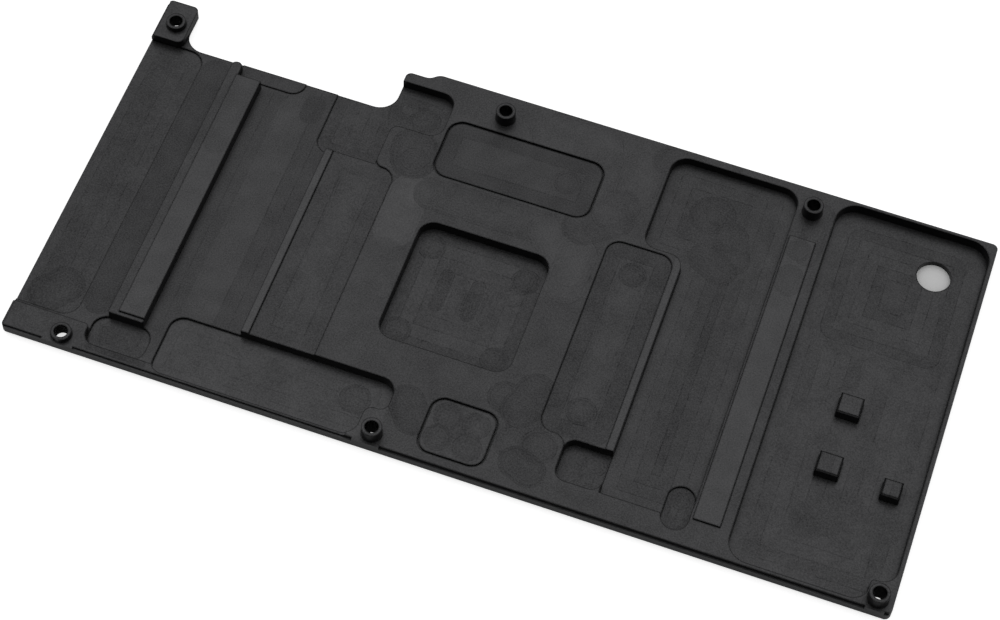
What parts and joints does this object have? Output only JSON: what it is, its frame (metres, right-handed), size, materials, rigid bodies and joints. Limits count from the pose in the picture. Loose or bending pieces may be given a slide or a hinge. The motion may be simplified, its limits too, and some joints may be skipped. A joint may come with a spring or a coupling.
{
  "type": "graphics card backplate",
  "caption": "Milled backplate that covers and cools the rear of a graphics card, with stand-off bosses, contact strips and relief pockets on its inner side",
  "frame": {"origin": "middle of the plate's length and width, on its flat outer face", "axes": "+X along the card from the bracket end, +Y from the slot edge to the far edge, +Z from the outer face to the inner side that faces the circuit board"},
  "size_m": [0.22, 0.1056, 0.0071],
  "materials": {
    "plate": "black anodised over fine milling marks"
  },
  "bodies": {
    "root": {"backplate": "plate"}
  },
  "joints": []
}
